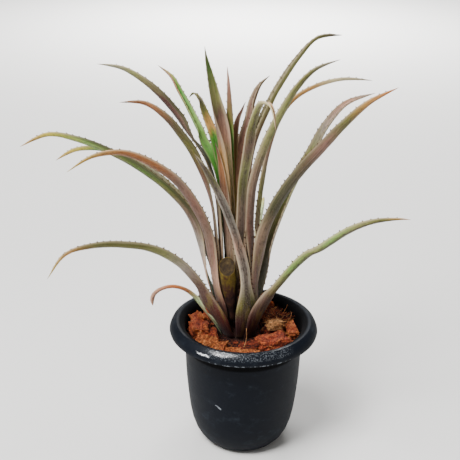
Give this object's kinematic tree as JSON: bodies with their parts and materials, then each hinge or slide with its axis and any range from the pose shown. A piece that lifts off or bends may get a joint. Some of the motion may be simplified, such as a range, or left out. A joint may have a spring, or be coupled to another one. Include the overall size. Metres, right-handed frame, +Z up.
{
  "type": "potted bromeliad",
  "caption": "Spiny bromeliad with narrow arching leaves in a rosette, rooted in coir husk in a round nursery pot with a rolled rim.",
  "frame": {"origin": "centre of the pot's base, on the plane it stands on", "axes": "+Z up along the pot's axis, -Y towards the viewer of the picture, +X to the viewer's right"},
  "size_m": [0.2938, 0.1938, 0.3328],
  "materials": {
    "pot_plastic": "satin black nursery plastic",
    "coir": "loose, fibrous coconut husk chips",
    "stem_tissue": "dark, dull plant tissue",
    "dried_shoot": "rough, dried plant tissue",
    "live_leaf": "stiff leaf, silver scurf over green and purple",
    "dried_leaf": "dried, papery leaf"
  },
  "bodies": {
    "root": {"pot": "pot_plastic", "coir_bed": "coir", "stem": "stem_tissue", "flower_stump": "dried_shoot", "leaf_dead_curl": "dried_leaf", "leaf_01": "live_leaf", "leaf_02": "live_leaf", "leaf_03": "live_leaf", "leaf_04": "live_leaf", "leaf_05": "live_leaf", "leaf_06": "live_leaf", "leaf_07": "live_leaf", "leaf_08": "live_leaf", "leaf_09": "live_leaf", "leaf_10": "live_leaf", "leaf_11": "live_leaf", "leaf_12": "live_leaf", "leaf_13": "live_leaf", "leaf_14": "live_leaf", "leaf_15": "live_leaf", "leaf_16": "live_leaf", "leaf_17": "live_leaf", "leaf_18": "live_leaf", "leaf_19": "dried_leaf", "leaf_20": "live_leaf", "leaf_21": "live_leaf", "leaf_22": "dried_leaf"}
  },
  "joints": []
}
